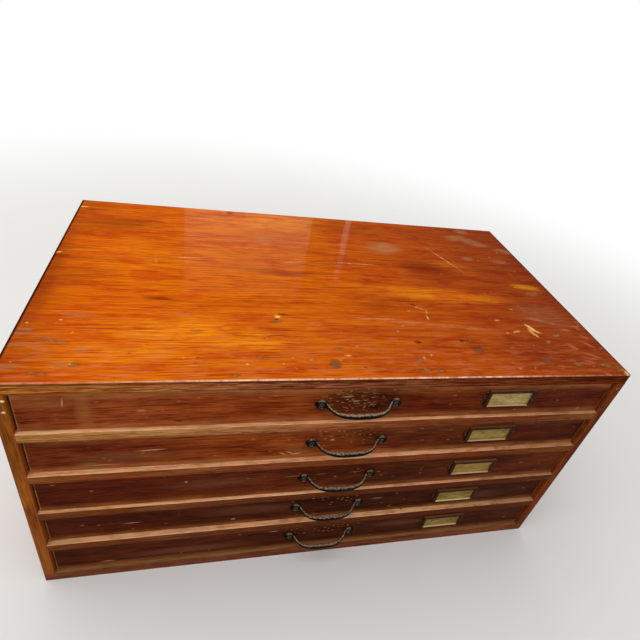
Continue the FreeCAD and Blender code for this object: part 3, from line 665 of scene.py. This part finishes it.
def knuckleFlecks(tree, frayed, scored, look):
    *oval, share = look["flecks"]
    cell, radius, stretch = frontLook["fleck"]
    region = patches(tree, frayed, [(*oval, 0, 1.0)], 0.5)
    light = allOf(tree, [flecks(tree, scored, cell, radius, share, stretch), region])
    stray = allOf(tree, [flecks(tree, scored, *frontLook["stray"]), frontLook["strayStrength"]])
    return addNode(tree, "Math", larger, [light, stray])


def rubbedRim(tree, x, z, low, high):
    footStart, footFull = frontLook["footRim"]
    headStart, headFull = frontLook["headRim"]
    return bandsOf(tree, [
        (z, low.z + footStart, low.z + footFull), (z, high.z - headStart, high.z - headFull),
        (x, low.x + footStart, low.x + footFull), (x, high.x - headStart, high.x - headFull)])


def makeFrontWood(number, look):
    low, high = boxOf(f"drawer_{number}_front")
    shift = number * 11.7
    material, tree = newMaterial(f"dark shellac on pine {number}")
    place = placeAlong(tree)
    x, y, z = addNode(tree, "SeparateXYZ", inputs=[place]).node.outputs
    face = addNode(tree, "CombineXYZ", inputs=[x, z])
    shade = grainShade(tree, place, frontLook["grain"], shift)
    tone = toneAlong(tree, place, x, low.x, high.x, look["tone"], frontLook["toneDrift"], shift + 1.0)
    soil = streaks(tree, place, *frontLook["soilCloud"], shift + 6.0)
    colour = shaded(tree, shaded(tree, tone, shade, frontLook["late"]), soil, frontLook["soil"])

    # the board is lighter towards its foot and head, at drawer 1's head as painted light against the shade
    # under the top's overhang, and here and there it is marked
    thin = paleFootAndHead(tree, z, low, high, look["thin"])
    thin = allOf(tree, [thin, cloud(tree, place, frontLook["paleFootHeadCloud"], shift)])
    frayed = ragged(tree, face, *frontLook["fray"], shift + 5.0)
    scored = ragged(tree, face, *frontLook["score"], shift + 5.0)
    smudge, dark, pale = (
        patches(tree, where, look[name][1], frontLook["markSoftness"])
        for name, where in (("smudge", frayed), ("dark", frayed), ("pale", scored)))
    # the dark marks are stains, and under and behind the pull they are also painted shade
    dark = allOf(tree, [dark, cloud(tree, place, frontLook["lineCloud"], shift)])
    colour = layOver(tree, colour, [
        (thin, frontLook["paleFootHeadTint"]), (smudge, look["smudge"][0]), (dark, look["dark"][0]),
        (pale, look["pale"][0])])

    # knuckles have flecked it behind the pull, and the arrises are rubbed pale, most of all at the
    # ends and along the foot
    light = knuckleFlecks(tree, frayed, scored, look)
    rim = rubbedRim(tree, x, z, low, high)
    rim = allOf(tree, [rim, cloud(tree, place, frontLook["rubCloud"], shift)])

    # behind the face the board was never stained
    start, full = (high.y - inset for inset in frontLook["insideBand"])
    inside = addNode(tree, "MapRange", smooth, [y, start, full, 0.0, 1.0])
    bare = addNode(tree, "ValToRGB", {"ramp": frontLook["bare"]}, [shade])
    colour = layOver(tree, colour, [
        (light, frontLook["fleckTint"]), (rim, frontLook["rubTint"]), (inside, bare)])
    finishMaterial(tree, colour, 0.5, 0.02, (shade, 0.0003))
    return material


dress("top_board", makeTopPine(topLook))
print("the top is varnished")
for number, look in drawerLooks.items():
    dress(f"drawer_{number}_front", makeFrontWood(number, look))
print("the drawer fronts are stained")

# The same stained pine, but brushed by hands and drawers: the upper rail is nearly bare at the left,
# every ledge is pale, rubbed wood with a painted highlight, and the rails from the third down are painted
# darker as shade.
railLook = {
    "lowest": 85.0, "pitch": 83.0, "thickness": 16.0,
    "upper": [
        (0.0, "#C89450"), (0.2, "#D29C60"), (0.34, "#CC9664"), (0.42, "#BC784C"), (0.6, "#98562C"),
        (0.85, "#8A4C20"), (1.0, "#A0683A")],
    "middle": [
        (0.0, "#A4672F"), (0.06, "#9C5B23"), (0.14, "#984E27"), (0.2, "#A76D3D"), (0.26, "#965631"),
        (0.5, "#93512A"), (0.8, "#87431A"), (1.0, "#8C5423")],
    "lower": [
        (0.0, "#8A5423"), (0.06, "#834A1A"), (0.14, "#7F3F1D"), (0.2, "#8C592F"), (0.26, "#7E4625"),
        (0.5, "#70391A"), (0.8, "#672E0E"), (1.0, "#6B3B15")],
    "late": [(0.37, "#9A7460"), (0.48, "#D8BCA8"), (0.6, "#FFFFFF")],
    # the ledge's pale tints are rubbed wood with a painted highlight, the pink one most of all
    "ledge": "#FFC68E",
    "ledgeGrey": "#F0CC9C",
    "ledgePinkGlint": "#FFBC98",
    "ledgeLate": [(0.36, "#C8A080"), (0.56, "#FFFFFF")],
    "toneDrift": (90.0, 12.0, 12.0),
    "stain": "#5A2810",
    "stainCloud": ((20.0, 30.0, 9.0), 3.0, 0.6, 18.0, (0.5, 0.66), (0.2, 0.8)),
    "stainHeight": (9.0, 1.0),
    "ledgeBand": (1.0, 0.3),     # below the ledge, where its pale band starts and is full
    "ledgeFade": (120.0, 400.0, 1.0, 0.55),    # it fades towards the right end
    "rubCloud": ((46.0, 30.0, 6.0), 3.0, 0.65, 8.0, (0.32, 0.5), (0.6, 1.0)),
    "greyCloud": ((34.0, 60.0, 60.0), 3.0, 0.65, 27.0, (0.46, 0.62), (0.0, 0.7)),
    "pinkCloud": ((34.0, 60.0, 60.0), 3.0, 0.65, 31.0, (0.46, 0.62), (0.0, 0.7)),
    "dent": (16.0, 1.3, 0.3, 2.2),
}


def makeRailWood(look):
    low, high = boxOf("front_rails")
    material, tree = newMaterial("rubbed pine rail")
    place = placeAlong(tree)
    x, y, z = addNode(tree, "SeparateXYZ", inputs=[place]).node.outputs
    shade = grainShade(tree, place, frontLook["grain"], 61.0)
    upper, middle, lower = (
        toneAlong(tree, place, x, low.x, high.x, look[name], look["toneDrift"], shift)
        for name, shift in (("upper", 3.0), ("middle", 7.0), ("lower", 7.0)))
    # the rails from the third down take a darker tone as painted shade
    tone = layOver(tree, lower, [
        (addNode(tree, "Math", {"operation": "GREATER_THAN"}, [z, high.z - look["pitch"] * below]), rail)
        for below, rail in ((1.5, middle), (0.5, upper))])
    colour = shaded(tree, tone, shade, look["late"])
    height = addNode(tree, "Math", minus, [z, look["lowest"]])
    height = addNode(tree, "Math", remainder, [height, look["pitch"]])

    # the face is darker in clouds towards its foot, and the ledge and its arris are pale: rubbed wood with a
    # painted highlight
    foot = addNode(tree, "MapRange", smooth, [height, *look["stainHeight"], 0.0, 1.0])
    foot = allOf(tree, [foot, cloud(tree, place, look["stainCloud"])])
    start, full = (look["thickness"] - depth for depth in look["ledgeBand"])
    ledge = allOf(tree, [
        addNode(tree, "MapRange", smooth, [height, start, full, 0.0, 1.0]),
        cloud(tree, place, look["rubCloud"]),
        addNode(tree, "MapRange", smooth, [x, *look["ledgeFade"]])])
    pale = layOver(tree, look["ledge"], [
        (cloud(tree, place, look["greyCloud"]), look["ledgeGrey"]),
        (cloud(tree, place, look["pinkCloud"]), look["ledgePinkGlint"])])
    pale = shaded(tree, pale, shade, look["ledgeLate"])
    dents = flecks(tree, place, *look["dent"])
    colour = layOver(tree, colour, [(foot, look["stain"]), (ledge, pale), (dents, look["stain"])])
    finishMaterial(tree, colour, 0.5, 0.02, (shade, 0.0003))
    return material


dress("front_rails", makeRailWood(railLook))

# The case's sides had the same shellac; the left one is lighter.
# Each is its grain's tones, its inner arris and the small pale dots on its front edge.
sideLooks = {
    "left_side": {
        "tone": [(0.36, "#6B370D"), (0.47, "#914F14"), (0.6, "#AF671E")],
        "inner": "#A04E1C",
        "shift": 71.0,
        "dots": ("#F4DCAC", [(-419.5, 407.4, 2.2, 1.8, 0, 1.0), (-421.3, 389.3, 2.0, 1.7, 0, 0.9)]),
    },
    "right_side": {
        "tone": [(0.36, "#491B06"), (0.47, "#74340F"), (0.6, "#914718")],
        "inner": "#8C441C",
        "shift": 83.0,
        "dots": ("#D09868", [(424.0, 405.0, 2.0, 1.4, 0, 0.6)]),
    },
}
sideWear = {
    "soilCloud": ((90.0, 30.0, 30.0), 3.0, 0.6),
    "rubCloud": ((34.0, 34.0, 34.0), 3.0, 0.7, 4.0, (0.4, 0.6), (0.1, 0.9)),
    "arrisBand": (4.0, 0.5),     # out from the inner face, where the rubbed arris starts and is full
    "bareBand": (0.6, 0.2),
    "bareFrom": (6.0, 14.0),     # behind the front edge, where the inner face is bare
    "dotBand": (2.0, 1.0),
}


def makeSideWood(name, look):
    low, high = boxOf(name)
    outward = 1.0 if low.x > 0 else -1.0
    innerFace = low.x if outward > 0 else high.x
    shift = look["shift"]
    material, tree = newMaterial(f"worn shellac on pine, {name.replace('_', ' ')}")
    place = placeAlong(tree, "ZYX")
    x, y, z = addNode(tree, "SeparateXYZ", inputs=[placeAlong(tree)]).node.outputs
    face = addNode(tree, "CombineXYZ", inputs=[x, z])
    shade = grainShade(tree, place, frontLook["grain"], shift)
    colour = addNode(tree, "ValToRGB", {"ramp": look["tone"]}, [shade])
    soil = streaks(tree, place, *sideWear["soilCloud"], shift + 2.0)
    colour = shaded(tree, colour, soil, frontLook["soil"])
    start, full = (innerFace + outward * inset for inset in sideWear["arrisBand"])
    inner = addNode(tree, "MapRange", smooth, [x, start, full, 0.0, 1.0])
    inner = allOf(tree, [inner, cloud(tree, place, sideWear["rubCloud"], shift)])
    tint, marks = look["dots"]
    start, full = (low.y + inset for inset in sideWear["dotBand"])
    fore = addNode(tree, "MapRange", inputs=[y, start, full, 0.0, 1.0])
    dots = allOf(tree, [patches(tree, face, marks, 0.4), fore])

    # inside the case the board is bare but grey with age
    start, full = (innerFace + outward * inset for inset in sideWear["bareBand"])
    inside = addNode(tree, "MapRange", smooth, [x, start, full, 0.0, 1.0])
    start, full = (low.y + inset for inset in sideWear["bareFrom"])
    inside = allOf(tree, [inside, addNode(tree, "MapRange", smooth, [y, start, full, 0.0, 1.0])])
    bare = addNode(tree, "ValToRGB", {"ramp": frontLook["bare"]}, [shade])
    colour = layOver(tree, colour, [(inner, look["inner"]), (dots, tint), (inside, bare)])
    finishMaterial(tree, colour, 0.5, 0.02, (shade, 0.0003))
    return material


for name, look in sideLooks.items():
    dress(name, makeSideWood(name, look))
print("rails and sides are worn in")

# Planed pine that was never finished: straw brown, darker where hands and type have rubbed it.
# Each is the order of the axes from along the grain, the early wood, the late wood and, on a board
# that shows outside, the stain on its outer edges.
bareLooks = {
    "bottom_board": ("XYZ", "#A87A4A", "#7A5230", "#8A4A20"),
    "back_boards": ("XZY", "#9C7850", "#6C4C30"),
    "drawer_runners": ("YXZ", "#A88258", "#785434"),
    "drawer_stops": ("YXZ", "#A88258", "#785434"),
    "left_wall": ("YZX", "#B48C5C", "#86603A"),
    "right_wall": ("YZX", "#B48C5C", "#86603A"),
    "back": ("XZY", "#B08858", "#805A36"),
    "floor": ("XYZ", "#9C7448", "#6E4C2C"),
    "partitions": ("XYZ", "#A87E50", "#785230"),
}
bareWear = {
    "grainStops": (0.37, 0.6),
    "soilCloud": ((160.0, 40.0, 40.0), 4.0, 0.6),
    "stainCloud": ((70.0, 14.0, 14.0), 3.0, 0.6),
    "stainBand": (1.4, 0.6),     # in from an outer edge, where the stain starts and is full
    "dent": (22.0, 1.4, 0.3, 2.0),
    "dentTint": "#4E341E",
}


def makeBareWood(name, look, shift):
    order, early, late, *stain = look
    material, tree = newMaterial(f"bare planed pine, {name.replace('_', ' ')}")
    place = placeAlong(tree, order)
    shade = grainShade(tree, place, frontLook["grain"], shift)
    colour = addNode(tree, "ValToRGB", {"ramp": list(zip(bareWear["grainStops"], (late, early)))}, [shade])
    soil = streaks(tree, place, *bareWear["soilCloud"], shift + 2.0)
    colour = shaded(tree, colour, soil, frontLook["bareSoil"])
    if stain:
        low, high = boxOf(name)
        x, y, z = addNode(tree, "SeparateXYZ", inputs=[placeAlong(tree)]).node.outputs
        start, full = bareWear["stainBand"]
        outer = bandsOf(tree, [
            (y, low.y + start, low.y + full), (x, low.x + start, low.x + full),
            (x, high.x - start, high.x - full)])
        worn = streaks(tree, place, *bareWear["stainCloud"], shift + 6.0)
        stained = shaded(tree, shaded(tree, stain[0], shade, frontLook["late"]), worn, frontLook["soil"])
        colour = layOver(tree, colour, [(outer, stained)])
    colour = layOver(tree, colour, [(flecks(tree, place, *bareWear["dent"]), bareWear["dentTint"])])
    finishMaterial(tree, colour, 0.7, 0.15, (shade, 0.0003))
    return material


for step, (name, look) in enumerate(bareLooks.items()):
    wood = makeBareWood(name, look, 5.0 + 4.3 * step)
    for node in nodes:
        if node == name or (node.startswith("drawer_") and node.split("_", 2)[-1] == name):
            dress(node, wood)
print("bare wood is in")

# Cast iron under black japan: gritty from the sand mould, near black below, and a warm brown-grey
# along every upper side, a painted highlight with some rubbing by fingers in it.
pullLook = {
    "japan": "#0C0805", "iron": "#A68C74", "rust": "#3E2414",
    "patch": ((4.0, 2.0, 2.0), 3.0, 0.65, 2.0),
    "patchLift": (1.1, -0.55),   # how far the patches break up the line between the painted highlight and the rest
    "rubbed": (0.66, 0.94),      # how far a face looks upward where the painted highlight starts and is full
    "pitCloud": ((2.6, 1.4, 1.4), 2.0, 0.6, 6.0, (0.38, 0.54), (0.15, 1.0)),
    "rustStops": (0.56, 0.72, 0.5),
    "grit": ((1.1, 1.1, 1.1), 3.0, 0.6),
}
iron, tree = newMaterial("japanned cast iron")
place = placeAlong(tree)
patch = streaks(tree, place, *pullLook["patch"])
lift = addNode(tree, "Math", timesPlus, [patch, *pullLook["patchLift"]])
lift = addNode(tree, "Math", plus, [upwardness(tree), lift])
# upper faces are painted lighter as a highlight
rubbed = addNode(tree, "MapRange", smooth, [lift, *pullLook["rubbed"], 0.0, 1.0])
rubbed = allOf(tree, [rubbed, cloud(tree, place, pullLook["pitCloud"])])
start, full, share = pullLook["rustStops"]
rust = addNode(tree, "MapRange", smooth, [patch, start, full, 0.0, share])
colour = layOver(tree, pullLook["japan"], [(rust, pullLook["rust"]), (rubbed, pullLook["iron"])])
finishMaterial(tree, colour, 0.5, 0.04, (streaks(tree, place, *pullLook["grit"]), 0.0002))

# Pressed steel with a brown bronze lacquer, mottled with wear; its upward faces are painted lighter
# as highlight: brass-yellow on the sill under the card, also rubbed there, and a dull tan on the ledge above
# it.
holderLook = {
    "lacquer": "#341A0C", "edge": "#6A4024", "ledge": "#845638", "sill": "#F0D8A4",
    "wearCloud": ((5.0, 2.5, 2.5), 3.0, 0.65, 3.0, (0.52, 0.68), (0.0, 0.8)),
    "sillHeight": (38.0, 44.0),  # heights within one drawer between which sill turns to ledge
    "litUpperFaces": (0.35, 0.8),
}
holder, tree = newMaterial("bronze lacquer on pressed steel")
place = placeAlong(tree)
wear = cloud(tree, place, holderLook["wearCloud"])
# drawers repeat at the rails' pitch, so a height in one of them holds for all
height = addNode(tree, "SeparateXYZ", inputs=[place]).node.outputs["Z"]
height = addNode(tree, "Math", remainder, [height, railLook["pitch"]])
sill = addNode(tree, "MapRange", inputs=[height, *holderLook["sillHeight"], 1.0, 0.0])
# upward faces are painted lighter as highlight, and on the sill also rubbed
litUpperFaces = addNode(tree, "MapRange", smooth, [upwardness(tree), *holderLook["litUpperFaces"], 0.0, 1.0])
tint = layOver(tree, holderLook["ledge"], [(sill, holderLook["sill"])])
colour = layOver(tree, holderLook["lacquer"], [(wear, holderLook["edge"]), (litUpperFaces, tint)])
finishMaterial(tree, colour, 0.5, 0.03)

# Unglazed manila card gone olive with age, its fibres showing; the top one is the lightest.
cardLooks = {
    1: ("#94783A", "#B0945A", "#CCB480"),
    2: ("#7A5E26", "#987A40", "#B09458"),
    3: ("#806428", "#9E8040", "#B69858"),
    4: ("#745A26", "#90743A", "#A88C52"),
    5: ("#745A26", "#90743A", "#A88C52"),
}
cardWear = {
    "fibre": ((9.0, 2.2, 2.2), 3.0, 0.7),
    "cloud": ((26.0, 12.0, 12.0), 2.0, 0.6),
    "stops": (0.38, 0.5, 0.62),
}
for number, tones in cardLooks.items():
    card, tree = newMaterial(f"aged manila card {number}")
    place = placeAlong(tree)
    fibre = streaks(tree, place, *cardWear["fibre"], number * 3.0)
    age = streaks(tree, place, *cardWear["cloud"], number * 3.0)
    blend = addNode(tree, "Mix", inputs={"Factor": 0.5, "A": fibre, "B": age})
    colour = addNode(tree, "ValToRGB", {"ramp": list(zip(cardWear["stops"], tones))}, [blend])
    finishMaterial(tree, colour, 0.8, 0.08, (fibre, 0.0001))
    dress(f"drawer_{number}_label_card", card)
    dress(f"drawer_{number}_pull", iron)
    dress(f"drawer_{number}_label_holder", holder)

# Mild steel gone dull brown-grey, brighter where a driver or a thumb has been.
steelLook = {"tones": [(0.38, "#221A16"), (0.62, "#54463A")], "patch": ((2.5, 2.5, 2.5), 3.0, 0.6)}
steel, tree = newMaterial("tarnished mild steel")
patch = streaks(tree, placeAlong(tree), *steelLook["patch"])
colour = addNode(tree, "ValToRGB", {"ramp": steelLook["tones"]}, [patch])
finishMaterial(tree, colour, 0.5, 0.1, Metallic=0.2)
for name in ["case_nails", "runner_screws"] + [f"drawer_{number}_fixings" for number in drawerLooks]:
    dress(name, steel)
print("iron, lacquer, card and steel are on")
